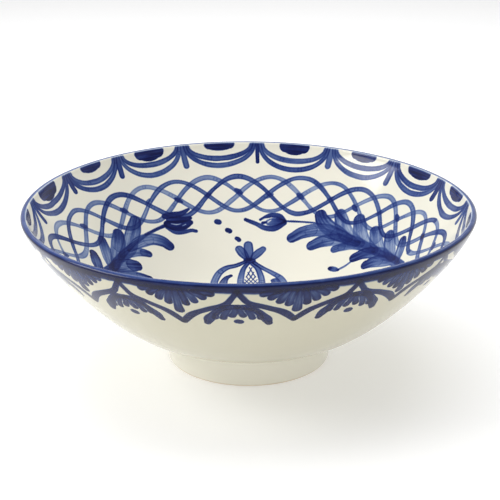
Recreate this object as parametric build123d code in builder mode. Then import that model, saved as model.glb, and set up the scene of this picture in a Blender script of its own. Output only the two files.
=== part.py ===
"""Footed porcelain serving bowl: a thrown clay shell, a foot ring luted under it, and their fired coats.

All lengths are in millimetres. +Z is up, and the origin is the centre of the foot's contact ring.
Every piece is a ring or a disc turned about Z, so each one is drawn as its right-hand half section,
with points given as (radius, height), and revolved.
"""

from build123d import *
import math
import os

# --- Driving dimensions -------------------------------------------------------------------------

glaze = 0.4  # thickness of every fired coat

# Wall: the glazed outside, from the flat underside out and up to the lip
rim_radius = 170.0
lip_height = 123.5
lip_shoulder_drop = 2.5  # from the lip's top down to where its rounding meets the outside
lip_thickness = 4.8
lip_handle = 1.35  # reach of the tangents that round the lip
wall_lean = 71.3  # degrees above level, where both wall faces meet the lip
belly_radius = 71.6  # where the flat underside starts to curve up
belly_height = 26.2
wall_handle = 28.7  # reach of the outer curve's tangents, which sets how full the belly is

# Inside: a flat floor that turns up into the wall
floor_height = 30.6
floor_edge_radius = 76.0
floor_edge_height = 31.8
floor_edge_rise = 12.6  # degrees above level
inner_low_handle = 26.4
inner_high_handle = 24.0
inner_lip_drop = 2.0

# Foot ring and the spigot under the floor that centres it
foot_contact_inner = 57.0
foot_contact_outer = 60.8
foot_inner_radius = 55.4
foot_outer_low_radius = 62.2
foot_outer_high_radius = 64.2
foot_top_height = 25.8
foot_edge_round = 1.6
spigot_radius = 54.6
spigot_height = 24.6  # underside of the floor, inside the foot

# Luting slip that bonds the foot, squeezed out into a fillet on both sides
outer_fillet = 3.0
inner_fillet = 2.8

# Cobalt band over the lip, as shares of the wall curves' parameter
band_outer_start = 0.915
band_inner_start = 0.979

os.makedirs("parts", exist_ok=True)


# --- Section curves -----------------------------------------------------------------------------


def ahead(point, angle, distance):
    """The point moved by a distance in the direction of an angle in degrees."""
    return (
        point[0] + distance * math.cos(math.radians(angle)),
        point[1] + distance * math.sin(math.radians(angle)),
    )


def wall_curve(start, start_angle, start_handle, end, end_angle, end_handle):
    """Control points of a cubic curve from its two ends, their directions and the handles' reach."""
    return [
        start,
        ahead(start, start_angle, start_handle),
        ahead(end, end_angle, -end_handle),
        end,
    ]


def sub_curve(points, start, end):
    """Control points of the stretch of a Bezier curve between two parameters."""

    def blend(values, shares):
        """De Casteljau's step with one share for each level, down to a single point."""
        for share in shares:
            values = [
                tuple((1 - share) * a + share * b for a, b in zip(p, q))
                for p, q in zip(values, values[1:])
            ]
        return values[0]

    degree = len(points) - 1
    return [blend(points, [end] * k + [start] * (degree - k)) for k in range(degree + 1)]


def outer_wall(depth):
    """The outside of the wall, depth mm below the glaze."""
    start = (belly_radius, belly_height + depth)
    end = ahead((rim_radius, lip_height - lip_shoulder_drop), wall_lean + 90, depth)
    return wall_curve(start, 0, wall_handle, end, wall_lean, wall_handle)


def inner_wall(depth):
    """The inside of the wall, from the floor's edge to the lip, depth mm below the glaze."""
    start = ahead((floor_edge_radius, floor_edge_height), floor_edge_rise - 90, depth)
    end = ahead((rim_radius - lip_thickness, lip_height - inner_lip_drop), wall_lean - 90, depth)
    return wall_curve(start, floor_edge_rise, inner_low_handle, end, wall_lean, inner_high_handle)


def floor_top(depth):
    """The floor's upper face, from the axis to the wall, depth mm below the glaze."""
    start = (0, floor_height - depth)
    end = inner_wall(depth)[0]
    return wall_curve(start, 0, floor_edge_radius / 2, end, floor_edge_rise, floor_edge_radius / 12)


def lip_rounding(depth):
    """The lip's two quarter rounds, from the outside over the top to the inside, depth mm below the glaze."""
    top = (rim_radius - lip_thickness / 2, lip_height - depth)
    outer_end = outer_wall(depth)[-1]
    inner_end = inner_wall(depth)[-1]
    return [
        wall_curve(outer_end, wall_lean, lip_handle, top, 180, lip_handle),
        wall_curve(top, 180, lip_handle, inner_end, wall_lean + 180, lip_handle),
    ]


def foot_wall(height, depth):
    """A point of the foot's flared outside at a height, depth mm below the glaze."""
    share = (height - foot_edge_round) / (foot_top_height - foot_edge_round)
    flare = foot_outer_high_radius - foot_outer_low_radius
    return (foot_outer_low_radius + share * flare + glaze - depth, height)


def outer_crease(depth):
    """The fillet between foot and belly, from the foot up to the underside, depth mm below the glaze."""
    underside = belly_height + depth
    corner = foot_wall(underside, depth)
    reach = outer_fillet + depth - glaze
    return [foot_wall(underside - reach, depth), corner, (corner[0] + reach, underside)]


def inner_crease(depth):
    """The fillet between foot and floor in the recess, from the foot up, depth mm below the glaze."""
    underside = spigot_height - glaze + depth
    corner = (foot_inner_radius - glaze + depth, underside)
    reach = inner_fillet + depth - glaze
    return [(corner[0], underside - reach), corner, (corner[0] - reach, underside)]


def straight(*points):
    """The straight runs through the points, each one as a curve of two points."""
    return [[a, b] for a, b in zip(points, points[1:])]


def back(curves):
    """The same curves, drawn the other way round."""
    return [list(reversed(points)) for points in reversed(curves)]


def turn(curves):
    """Draws a closed outline, curve by curve, and revolves it about Z.

    The face is made from the drawn edges themselves, so that tangent curves stay separate faces.
    """
    with BuildLine(Plane.XZ):
        edges = [Line(*points) if len(points) == 2 else Bezier(*points) for points in curves]
    revolve(Face(Wire([line.edge() for line in edges])), axis=Axis.Z, clean=False)


def turn_coat(faces, clay_faces):
    """Turns a coat from the curves of its glazed face and the matching curves of the clay."""
    start = straight(clay_faces[0][0], faces[0][0])
    end = straight(faces[-1][-1], clay_faces[-1][-1])
    turn(start + faces + end + back(clay_faces))


def finish(piece, name):
    """Names a finished piece and writes its file."""
    piece.part.label = name
    export_step(piece.part, f"parts/{name}.step")


# --- Fired clay ---------------------------------------------------------------------------------

clay = glaze  # the clay's own faces lie one coat below the glazed ones
underside = belly_height + clay
crease = outer_crease(clay)
recess_crease = inner_crease(clay)

with BuildPart() as bowl_body:
    turn(
        straight(
            (0, spigot_height),
            (spigot_radius, spigot_height),
            (spigot_radius, underside),
            (belly_radius, underside),
        )
        + [outer_wall(clay)]
        + lip_rounding(clay)
        + back([floor_top(clay), inner_wall(clay)])
        + straight(floor_top(clay)[0], (0, spigot_height))
    )
finish(bowl_body, "bowl_body")

with BuildPart() as foot_ring:
    outer_edge = (foot_outer_low_radius, foot_edge_round)
    inner_edge = (foot_inner_radius, foot_edge_round)
    turn(
        straight((foot_contact_inner, 0), (foot_contact_outer, 0))
        + [[(foot_contact_outer, 0), (foot_outer_low_radius, 0), outer_edge]]
        + straight(
            outer_edge,
            (foot_outer_high_radius, foot_top_height),
            (foot_inner_radius, foot_top_height),
            inner_edge,
        )
        + [[inner_edge, (foot_inner_radius, 0), (foot_contact_inner, 0)]]
    )
finish(foot_ring, "foot_ring")

with BuildPart() as luting_seam:
    turn(
        [crease]
        + straight(
            crease[-1],
            (spigot_radius, underside),
            (spigot_radius, spigot_height),
            recess_crease[-1],
        )
        + back([recess_crease])
        + straight(
            recess_crease[0],
            (foot_inner_radius, foot_top_height),
            (foot_outer_high_radius, foot_top_height),
            crease[0],
        )
    )
finish(luting_seam, "luting_seam")


# --- Fired coats --------------------------------------------------------------------------------


def inner_faces(depth):
    """The inside from the axis up to the cobalt band."""
    return [floor_top(depth), sub_curve(inner_wall(depth), 0, band_inner_start)]


def outer_faces(depth):
    """The outside from the crease above the foot up to the cobalt band."""
    wall = sub_curve(outer_wall(depth), 0, band_outer_start)
    return straight(outer_crease(depth)[-1], wall[0]) + [wall]


def band_faces(depth):
    """The lip from the cobalt band's lower edge outside, over the top, to its lower edge inside."""
    outside = sub_curve(outer_wall(depth), band_outer_start, 1)
    inside = sub_curve(inner_wall(depth), band_inner_start, 1)
    return [outside] + lip_rounding(depth) + back([inside])


def foot_faces(depth):
    """The foot's outside from above its bare edge up through the crease."""
    fillet = outer_crease(depth)
    return straight(foot_wall(foot_edge_round, depth), fillet[0]) + [fillet]


def recess_faces(depth):
    """The recess inside the foot, from above its bare edge to the axis."""
    fillet = inner_crease(depth)
    wall = straight((fillet[0][0], foot_edge_round), fillet[0])
    return wall + [fillet] + straight(fillet[-1], (0, fillet[-1][1]))


with BuildPart() as inner_glaze:
    turn_coat(inner_faces(0), inner_faces(clay))
finish(inner_glaze, "inner_glaze")

with BuildPart() as outer_glaze:
    turn_coat(outer_faces(0), outer_faces(clay))
finish(outer_glaze, "outer_glaze")

with BuildPart() as rim_band:
    turn_coat(band_faces(0), band_faces(clay))
finish(rim_band, "rim_band")

with BuildPart() as foot_glaze:
    turn_coat(foot_faces(0), foot_faces(clay))
finish(foot_glaze, "foot_glaze")

with BuildPart() as recess_glaze:
    turn_coat(recess_faces(0), recess_faces(clay))
finish(recess_glaze, "recess_glaze")
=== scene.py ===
"""Looks of a hand-painted, footed porcelain serving bowl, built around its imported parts.

Lengths inside the classes are in millimetres, unless a class says otherwise, and become metres when a
mesh is made. The painting is laid down stroke by stroke: each stroke is a line on the glazed face with
its own width and pigment, and each painted motif becomes one thin closed film that rises out of the
glaze where it holds pigment.
"""

import logging
import math
from dataclasses import dataclass, field
from enum import Enum

import bpy
import numpy as np
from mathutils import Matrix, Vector


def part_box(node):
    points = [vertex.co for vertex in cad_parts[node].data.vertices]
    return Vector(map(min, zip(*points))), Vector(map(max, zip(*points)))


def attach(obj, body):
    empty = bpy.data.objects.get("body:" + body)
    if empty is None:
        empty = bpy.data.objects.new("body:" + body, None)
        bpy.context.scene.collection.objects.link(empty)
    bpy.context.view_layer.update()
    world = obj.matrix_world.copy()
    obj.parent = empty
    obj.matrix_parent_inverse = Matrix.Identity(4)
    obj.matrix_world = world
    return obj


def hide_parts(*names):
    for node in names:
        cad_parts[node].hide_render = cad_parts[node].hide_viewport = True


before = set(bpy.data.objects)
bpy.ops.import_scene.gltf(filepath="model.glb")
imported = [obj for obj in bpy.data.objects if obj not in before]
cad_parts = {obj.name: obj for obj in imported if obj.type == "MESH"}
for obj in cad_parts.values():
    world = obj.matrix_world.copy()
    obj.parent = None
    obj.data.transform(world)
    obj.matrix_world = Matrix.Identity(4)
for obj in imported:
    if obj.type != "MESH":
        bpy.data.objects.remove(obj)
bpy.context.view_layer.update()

MM = 0.001
BODY = "root"

WIPED = (-1.0,)  # the tone of a stroke that lifts pigment
SPAN_INPUTS = ("From Min", "From Max", "To Min", "To Max")

Point = tuple[float, float]
Colour = tuple[float, float, float]
Place = tuple[float, float, float]
Values = tuple[float, ...]
Socket = bpy.types.NodeSocket
Feed = bpy.types.NodeSocket | float | Colour
log = logging.getLogger("bowl")


class BowlFace(Enum):
    """The two glazed faces that carry paint."""

    INSIDE = "inside"
    OUTSIDE = "outside"


class Slot(Enum):
    """The record's material slots."""

    CLAY = "fired_clay"
    SLIP = "fired_slip"
    CREAM = "cream_glaze"
    COBALT = "cobalt_glaze"


# --- Curves and hand variation -------------------------------------------------------------------


def bezier(points: list[Point], count: int) -> np.ndarray:
    """Samples a cubic Bezier curve.

    Args:
        points: the four control points.
        count: how many samples, ends included.

    Returns:
        The samples, one row each.
    """
    a, b, c, d = np.asarray(points, float)
    t = np.linspace(0, 1, count)[:, None]
    return (1 - t) ** 3 * a + 3 * (1 - t) ** 2 * t * b + 3 * (1 - t) * t**2 * c + t**3 * d


def ahead(point: Point, angle: float, distance: float) -> Point:
    """The point moved by a distance in the direction of an angle in degrees."""
    turn = math.radians(angle)
    return (point[0] + distance * math.cos(turn), point[1] + distance * math.sin(turn))


def wall_curve(start: Point, start_angle: float, reach: float, end: Point, end_angle: float,
               end_reach: float) -> list[Point]:
    """Control points of a cubic from its two ends, their directions and the reach of its handles."""
    return [start, ahead(start, start_angle, reach), ahead(end, end_angle, -end_reach), end]


def smooth_step(value: np.ndarray, low: float, high: float) -> np.ndarray:
    """Rises smoothly from 0 at low to 1 at high."""
    t = np.clip((value - low) / (high - low), 0, 1)
    return t * t * (3 - 2 * t)


def arc_length(points: np.ndarray) -> np.ndarray:
    """Distance along a polyline to each of its points."""
    return np.concatenate([[0], np.cumsum(np.linalg.norm(np.diff(points, axis=0), axis=1))])


def smooth_line(points: list, step: float) -> np.ndarray:
    """Draws a smooth line through given points.

    Args:
        points: the control points, in any number of dimensions.
        step: the spacing of the result along the line.

    Returns:
        Evenly spaced points, ends included.
    """
    p = np.asarray(points, float)
    p = np.vstack([2 * p[0] - p[1], p, 2 * p[-1] - p[-2]])
    t = np.linspace(0, 1, 12, endpoint=False)[:, None]
    spans = []
    for a, b, c, d in zip(p, p[1:], p[2:], p[3:]):
        spans.append(0.5 * (2 * b + (c - a) * t + (2 * a - 5 * b + 4 * c - d) * t**2
                            + (3 * b - a - 3 * c + d) * t**3))
    dense = np.vstack(spans + [p[-2:-1]])
    along = arc_length(dense)
    even = np.linspace(0, along[-1], max(3, int(along[-1] / step) + 1))
    return np.stack([np.interp(even, along, column) for column in dense.T], axis=1)


def spread(values: Values, count: int) -> np.ndarray:
    """Spreads a few values smoothly along a line of count points.

    Args:
        values: the values, from one end to the other.
        count: how many points.

    Returns:
        One value for each point.
    """
    if len(values) == 1:
        return np.full(count, float(values[0]))
    knots = np.linspace(0, 1, len(values))
    curve = smooth_line([(k, v) for k, v in zip(knots, values)], 0.01)
    return np.interp(np.linspace(0, 1, count), curve[:, 0], curve[:, 1])


@dataclass(frozen=True)
class HandNoise:
    """Smooth, repeatable variation, from 0 to 1, for what a hand doesn't do evenly."""

    seed: int
    size: int = 61

    def at(self, u: np.ndarray, v: np.ndarray | float = 0.0) -> np.ndarray:
        """The variation at a place given in cells of the noise.

        Args:
            u: places along the first direction.
            v: places along the second direction.

        Returns:
            Values from 0 to 1.
        """
        table = np.random.default_rng(self.seed).random((self.size, self.size))
        u, v = np.broadcast_arrays(np.asarray(u, float), np.asarray(v, float))
        i, j = np.floor(u).astype(int), np.floor(v).astype(int)
        fu, fv = u - i, v - j
        fu, fv = fu * fu * (3 - 2 * fu), fv * fv * (3 - 2 * fv)
        i0, i1, j0, j1 = i % self.size, (i + 1) % self.size, j % self.size, (j + 1) % self.size
        low = table[i0, j0] * (1 - fu) + table[i1, j0] * fu
        high = table[i0, j1] * (1 - fu) + table[i1, j1] * fu
        return low * (1 - fv) + high * fv


# --- Shape of the bowl ---------------------------------------------------------------------------


@dataclass(frozen=True)
class FiringWarp:
    """How far the thin wall has moved up or down in the kiln, round the bowl. The foot stays true."""

    lift: float = 0.07
    tilt: Point = (0.60, 0.33)
    oval: Point = (0.86, 0.72)
    still_below: float = 26.0
    full_above: float = 121.0

    def rise(self, theta: np.ndarray, height: np.ndarray) -> np.ndarray:
        """Vertical movement at an angle and a height.

        Args:
            theta: angles round the bowl, in radians.
            height: heights above the contact face, in millimetres.

        Returns:
            How far each point has moved up.
        """
        a = theta + math.pi / 2
        wave = self.lift + self.tilt[0] * np.sin(a) + self.tilt[1] * np.cos(a)
        wave = wave + self.oval[0] * np.sin(2 * a) + self.oval[1] * np.cos(2 * a)
        share = np.clip((height - self.still_below) / (self.full_above - self.still_below), 0, 1)
        return wave * share**1.5


@dataclass(frozen=True)
class BowlSection:
    """The bowl's half section, as (radius, height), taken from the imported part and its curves."""

    rim_radius: float
    lip_height: float
    belly_height: float
    floor_height: float
    foot_top_radius: float
    foot_top_height: float
    foot_inner_radius: float
    recess_height: float
    glaze: float = 0.4
    shoulder_drop: float = 2.5
    lip_thickness: float = 4.8
    lip_handle: float = 1.35
    wall_lean: float = 71.3
    belly_radius: float = 71.6
    wall_handle: float = 28.7
    floor_edge: Point = (76.0, 31.8)
    floor_edge_rise: float = 12.6
    inner_handles: Point = (26.4, 24.0)
    inner_drop: float = 2.0
    contact: Point = (57.0, 60.8)
    foot_low_radius: float = 62.2
    foot_edge: float = 1.6
    spigot_radius: float = 54.6
    outer_fillet: float = 3.0
    inner_fillet: float = 2.8
    lip_bulge: float = 0.075
    band_outer_start: float = 0.915
    band_inner_start: float = 0.979

    @classmethod
    def from_frame(cls) -> "BowlSection":
        """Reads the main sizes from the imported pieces.

        Returns:
            The bowl's section.
        """
        glaze = cls.glaze
        band_low, band_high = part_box("rim_band")
        foot_low, foot_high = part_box("foot_ring")
        recess_low, recess_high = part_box("recess_glaze")
        return cls(
            rim_radius=(band_high.x - band_low.x) / 2 / MM - cls.lip_bulge,
            lip_height=band_high.z / MM,
            belly_height=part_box("outer_glaze")[0].z / MM,
            floor_height=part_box("inner_glaze")[0].z / MM + glaze,
            foot_top_radius=(foot_high.x - foot_low.x) / 2 / MM,
            foot_top_height=foot_high.z / MM,
            foot_inner_radius=(recess_high.x - recess_low.x) / 2 / MM,
            recess_height=recess_high.z / MM,
        )

    def outer_wall(self, depth: float) -> list[Point]:
        """The outside of the wall, from the belly up to the lip.

        Args:
            depth: how far below the glazed face to draw.

        Returns:
            The four control points.
        """
        start = (self.belly_radius, self.belly_height + depth)
        shoulder = (self.rim_radius, self.lip_height - self.shoulder_drop)
        end = ahead(shoulder, self.wall_lean + 90, depth)
        return wall_curve(start, 0, self.wall_handle, end, self.wall_lean, self.wall_handle)

    def inner_wall(self, depth: float) -> list[Point]:
        """The inside of the wall, from the floor's edge to the lip.

        Args:
            depth: how far below the glazed face to draw.

        Returns:
            The four control points.
        """
        start = ahead(self.floor_edge, self.floor_edge_rise - 90, depth)
        edge = (self.rim_radius - self.lip_thickness, self.lip_height - self.inner_drop)
        end = ahead(edge, self.wall_lean - 90, depth)
        low, high = self.inner_handles
        return wall_curve(start, self.floor_edge_rise, low, end, self.wall_lean, high)

    def floor_top(self, depth: float) -> list[Point]:
        """The floor's upper face, from the axis to the wall.

        Args:
            depth: how far below the glazed face to draw.

        Returns:
            The four control points.
        """
        end = self.inner_wall(depth)[0]
        reach = self.floor_edge[0]
        start = (0.0, self.floor_height - depth)
        return wall_curve(start, 0, reach / 2, end, self.floor_edge_rise, reach / 12)

    def lip(self, depth: float) -> tuple[list[Point], list[Point]]:
        """The lip's two quarter rounds, from the outside over the top to the inside.

        Args:
            depth: how far below the glazed face to draw.

        Returns:
            The control points of both rounds.
        """
        top = (self.rim_radius - self.lip_thickness / 2, self.lip_height - depth)
        outer, inner = self.outer_wall(depth)[-1], self.inner_wall(depth)[-1]
        reach, lean = self.lip_handle, self.wall_lean
        return (wall_curve(outer, lean, reach, top, 180, reach),
                wall_curve(top, 180, reach, inner, lean + 180, reach))

    def foot_wall(self, height: float, depth: float) -> Point:
        """A point on the foot's flared outside.

        Args:
            height: the height above the contact face.
            depth: how far below the glazed face to draw.

        Returns:
            The point, as (radius, height).
        """
        share = (height - self.foot_edge) / (self.foot_top_height - self.foot_edge)
        flare = self.foot_top_radius - self.foot_low_radius
        return (self.foot_low_radius + share * flare + self.glaze - depth, height)

    def outer_crease(self, depth: float) -> np.ndarray:
        """The fillet between foot and belly, from the foot up.

        Args:
            depth: how far below the glazed face to draw.

        Returns:
            The points, as (radius, height), one row each.
        """
        under = self.belly_height + depth
        corner = self.foot_wall(under, depth)
        reach = self.outer_fillet + depth - self.glaze
        low = self.foot_wall(under - reach, depth)
        return self.quadratic(low, corner, (corner[0] + reach, under))

    def inner_crease(self, depth: float) -> np.ndarray:
        """The fillet between foot and floor in the recess, from the foot up.

        Args:
            depth: how far below the glazed face to draw.

        Returns:
            The points, as (radius, height), one row each.
        """
        under = self.recess_height - self.glaze + depth
        corner = (self.foot_inner_radius - self.glaze + depth, under)
        reach = self.inner_fillet + depth - self.glaze
        return self.quadratic((corner[0], under - reach), corner, (corner[0] - reach, under))

    @staticmethod
    def quadratic(a: Point, b: Point, c: Point, count: int = 9) -> np.ndarray:
        """Samples a quadratic Bezier curve.

        Args:
            a: the first point.
            b: the control point.
            c: the last point.
            count: how many samples.

        Returns:
            The samples, one row each.
        """
        a, b, c = (np.asarray(p, float) for p in (a, b, c))
        t = np.linspace(0, 1, count)[:, None]
        return (1 - t) ** 2 * a + 2 * (1 - t) * t * b + t**2 * c

    def inside_line(self, depth: float) -> np.ndarray:
        """The inside, from the lip's top down to the axis.

        Args:
            depth: how far below the glazed face to draw.

        Returns:
            The points, as (radius, height), one row each.
        """
        lip = bezier(self.lip(depth)[1], 13)
        wall = bezier(self.inner_wall(depth), 140)[::-1]
        floor = bezier(self.floor_top(depth), 40)[::-1]
        return np.vstack([lip, wall[1:], floor[1:]])

    def outside_line(self, depth: float) -> np.ndarray:
        """The outside, from the lip's shoulder down to the crease above the foot."""
        wall = bezier(self.outer_wall(depth), 140)[::-1]
        return np.vstack([wall, self.outer_crease(depth)[-1:]])


@dataclass
class GlazedFace:
    """One glazed face as a surface with two coordinates: the angle, and the way down from the rim."""

    which: BowlFace
    section: BowlSection
    warp: FiringWarp = field(default_factory=FiringWarp)

    def __post_init__(self) -> None:
        """Samples the face's section line."""
        inside = self.which is BowlFace.INSIDE
        self.line = self.section.inside_line(0) if inside else self.section.outside_line(0)
        self.down = arc_length(self.line)
        slope = np.gradient(self.line, axis=0)
        slope /= np.linalg.norm(slope, axis=1)[:, None]
        sign = 1 if inside else -1
        self.normal_line = np.stack([slope[:, 1], -slope[:, 0]], axis=1) * sign

    def radius(self, down: np.ndarray) -> np.ndarray:
        """The radius at a distance down from the rim."""
        return np.interp(down, self.down, self.line[:, 0])

    def place(self, theta: np.ndarray, down: np.ndarray, lift: np.ndarray | float = 0.0) -> np.ndarray:
        """Points on the face, raised off it by a lift along its normal.

        Args:
            theta: angles round the bowl, in radians.
            down: distances down the face from the rim.
            lift: how far off the face.

        Returns:
            The points, one row each.
        """
        r, z = (np.interp(down, self.down, self.line[:, k]) for k in (0, 1))
        nr, nz = (np.interp(down, self.down, self.normal_line[:, k]) for k in (0, 1))
        r, z = r + nr * lift, z + nz * lift
        z = z + self.warp.rise(theta, z)
        return np.stack([r * np.cos(theta), r * np.sin(theta), z], axis=-1)

    def normal(self, theta: np.ndarray, down: np.ndarray) -> np.ndarray:
        """Unit normals that point out of the glaze, warp included.

        Args:
            theta: angles round the bowl, in radians.
            down: distances down the face from the rim.

        Returns:
            The normals, one row each.
        """
        turn, slide = 1e-3, 0.2
        across = self.place(theta + turn, down) - self.place(theta - turn, down)
        along = self.place(theta, down + slide) - self.place(theta, np.maximum(down - slide, 0))
        n = np.cross(across, along) * (1 if self.which is BowlFace.INSIDE else -1)
        length = np.linalg.norm(n, axis=-1, keepdims=True)
        flat = length[..., 0] < 1e-9
        n = n / np.maximum(length, 1e-9)
        n[flat] = (0, 0, 1)
        return n

    def from_plan(self, x: np.ndarray, y: np.ndarray) -> tuple[np.ndarray, np.ndarray]:
        """Angle and way down of points seen from above."""
        r = np.hypot(x, y)
        return np.arctan2(y, x), np.interp(r, self.line[::-1, 0], self.down[::-1])


# --- Finishes ------------------------------------------------------------------------------------


class NodeSheet:
    """A short hand for writing a material's nodes."""

    def __init__(self, name: str) -> None:
        """Starts an empty material with its output.

        Args:
            name: the material's name.
        """
        self.material = bpy.data.materials.new(name)
        self.material.use_nodes = True
        self.tree = self.material.node_tree
        self.tree.nodes.clear()
        self.shader = self.node("ShaderNodeBsdfPrincipled")
        output = self.node("ShaderNodeOutputMaterial")
        self.link(self.shader.outputs["BSDF"], output.inputs["Surface"])
        self.place = self.node("ShaderNodeTexCoord").outputs["Object"]

    def node(self, kind: str, **settings: object) -> bpy.types.Node:
        """Adds a node and sets its properties.

        Args:
            kind: the node's type.
            settings: the properties to set.

        Returns:
            The new node.
        """
        made = self.tree.nodes.new(kind)
        for key, value in settings.items():
            setattr(made, key, value)
        return made

    def link(self, source: Socket, target: Socket) -> None:
        """Joins two sockets."""
        self.tree.links.new(source, target)

    def noise(self, scale: float, detail: float = 3.0, roughness: float = 0.5,
              stretch: Place | None = None) -> Socket:
        """Noise over the object, one cell every 1/scale metres, if wanted stretched along an axis.

        Args:
            scale: cells in a metre.
            detail: how many finer layers.
            roughness: how strong the finer layers are.
            stretch: how much finer along each axis.

        Returns:
            The result, to be linked on.
        """
        made = self.node("ShaderNodeTexNoise")
        made.inputs["Scale"].default_value = scale
        made.inputs["Detail"].default_value = detail
        made.inputs["Roughness"].default_value = roughness
        where = self.place
        if stretch is not None:
            mapping = self.node("ShaderNodeMapping")
            mapping.inputs["Scale"].default_value = stretch
            self.link(where, mapping.inputs["Vector"])
            where = mapping.outputs["Vector"]
        self.link(where, made.inputs["Vector"])
        return made.outputs["Fac"]

    def ramp(self, source: Socket, stops: list[tuple[float, Colour]]) -> Socket:
        """Turns a number into a colour.

        Args:
            source: the number to read.
            stops: where each colour lies, and the colour.

        Returns:
            The result, to be linked on.
        """
        made = self.node("ShaderNodeValToRGB")
        made.color_ramp.interpolation = "LINEAR"
        keys = made.color_ramp.elements
        while len(keys) < len(stops):
            keys.new(0.5)
        for key, (at, colour) in zip(keys, stops):
            key.position = at
            key.color = (*colour, 1)
        self.link(source, made.inputs["Fac"])
        return made.outputs["Color"]

    def span(self, source: Socket, low: float, high: float, out_low: float, out_high: float) -> Socket:
        """Rescales a number.

        Args:
            source: the number to read.
            low: the lower end of what comes in.
            high: the upper end of what comes in.
            out_low: what the lower end becomes.
            out_high: what the upper end becomes.

        Returns:
            The result, to be linked on.
        """
        made = self.node("ShaderNodeMapRange")
        for name, value in zip(SPAN_INPUTS, (low, high, out_low, out_high)):
            made.inputs[name].default_value = value
        self.link(source, made.inputs["Value"])
        return made.outputs["Result"]

    def maths(self, operation: str, a: Feed, b: Feed) -> Socket:
        """Combines two numbers, each a socket or a value.

        Args:
            operation: which sum to do.
            a: the first input.
            b: the second input.

        Returns:
            The result, to be linked on.
        """
        made = self.node("ShaderNodeMath", operation=operation)
        for socket, value in zip(made.inputs, (a, b)):
            if isinstance(value, (int, float)):
                socket.default_value = value
            else:
                self.link(value, socket)
        return made.outputs[0]

    def blend(self, mode: str, amount: Feed, a: Feed, b: Feed) -> Socket:
        """Blends two colours, each a socket or a value.

        Args:
            mode: how to blend.
            amount: how much of the blend shows.
            a: the first input.
            b: the second input.

        Returns:
            The result, to be linked on.
        """
        made = self.node("ShaderNodeMix", data_type="RGBA", blend_type=mode)
        for socket, value in zip((made.inputs[0], made.inputs[6], made.inputs[7]), (amount, a, b)):
            if isinstance(value, tuple):
                socket.default_value = (*value, 1)
            elif isinstance(value, (int, float)):
                socket.default_value = value
            else:
                self.link(value, socket)
        return made.outputs[2]

    def relief(self, layers: list[tuple[Socket, float]]) -> None:
        """Adds bumps, each with its own height in millimetres.

        Args:
            layers: each bump and its height in millimetres.
        """
        normal = None
        for source, height in layers:
            bump = self.node("ShaderNodeBump")
            bump.inputs["Distance"].default_value = height * MM
            bump.inputs["Strength"].default_value = 1.0
            self.link(source, bump.inputs["Height"])
            if normal is not None:
                self.link(normal, bump.inputs["Normal"])
            normal = bump.outputs["Normal"]
        self.link(normal, self.shader.inputs["Normal"])

    def paint(self, colour: Socket | None = None, roughness: Socket | None = None) -> None:
        """Feeds the shader's colour and roughness.

        Args:
            colour: the colour to feed, if any.
            roughness: the roughness to feed, if any.
        """
        for value, name in ((colour, "Base Color"), (roughness, "Roughness")):
            if value is not None:
                self.link(value, self.shader.inputs[name])


def linear(red: int, green: int, blue: int) -> Colour:
    """A colour from its display values, 0 to 255."""
    shares = (red / 255, green / 255, blue / 255)
    return tuple(s / 12.92 if s <= 0.04 else ((s + 0.055) / 1.055) ** 2.4 for s in shares)


@dataclass(frozen=True)
class CreamGlaze:
    """Clear gloss glaze over a warm white slip, a little uneven in tint and very gently rippled. Its outside
    faces carry painted shade.
    """

    name: str = "cream_glaze"
    warm: Colour = linear(238, 234, 219)
    cool: Colour = linear(230, 228, 214)
    speck: Colour = linear(176, 160, 132)
    # painted shade: this colour darkens and warms the glaze on the outside faces, standing in for the lower
    # light there
    outside: Colour = (0.71, 0.70, 0.63)
    ior: float = 1.5
    shine: float = 0.4
    gloss: Point = (0.09, 0.15)
    ripple: float = 0.12
    peel: float = 0.003

    def coat(self, sheet: NodeSheet) -> Socket:
        """Sets gloss and relief, and returns the glaze's own colour.

        Args:
            sheet: the material that is being written.

        Returns:
            The glaze's own colour.
        """
        tint = sheet.blend("MIX", sheet.noise(9, 4), self.cool, self.warm)
        specks = sheet.span(sheet.noise(620, 2), 0.80, 0.86, 0, 0.4)
        tint = sheet.blend("MIX", specks, tint, self.speck)
        # painted shade: where the outside attribute is set, the glaze colour is multiplied down by the
        # outside colour
        outside = sheet.node("ShaderNodeAttribute", attribute_name="outside").outputs["Fac"]
        tint = sheet.blend("MULTIPLY", outside, tint, self.outside)
        sheet.shader.inputs["IOR"].default_value = self.ior
        sheet.shader.inputs["Specular IOR Level"].default_value = self.shine
        rough = sheet.span(sheet.noise(34, 5), 0.3, 0.7, *self.gloss)
        sheet.relief([(sheet.noise(38, 2), self.ripple), (sheet.noise(420, 2), self.peel)])
        sheet.paint(roughness=rough)
        return tint

    def make(self) -> bpy.types.Material:
        """The finished material.

        Returns:
            The finished material.
        """
        sheet = NodeSheet(self.name)
        sheet.paint(colour=self.coat(sheet))
        return sheet.material


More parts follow.
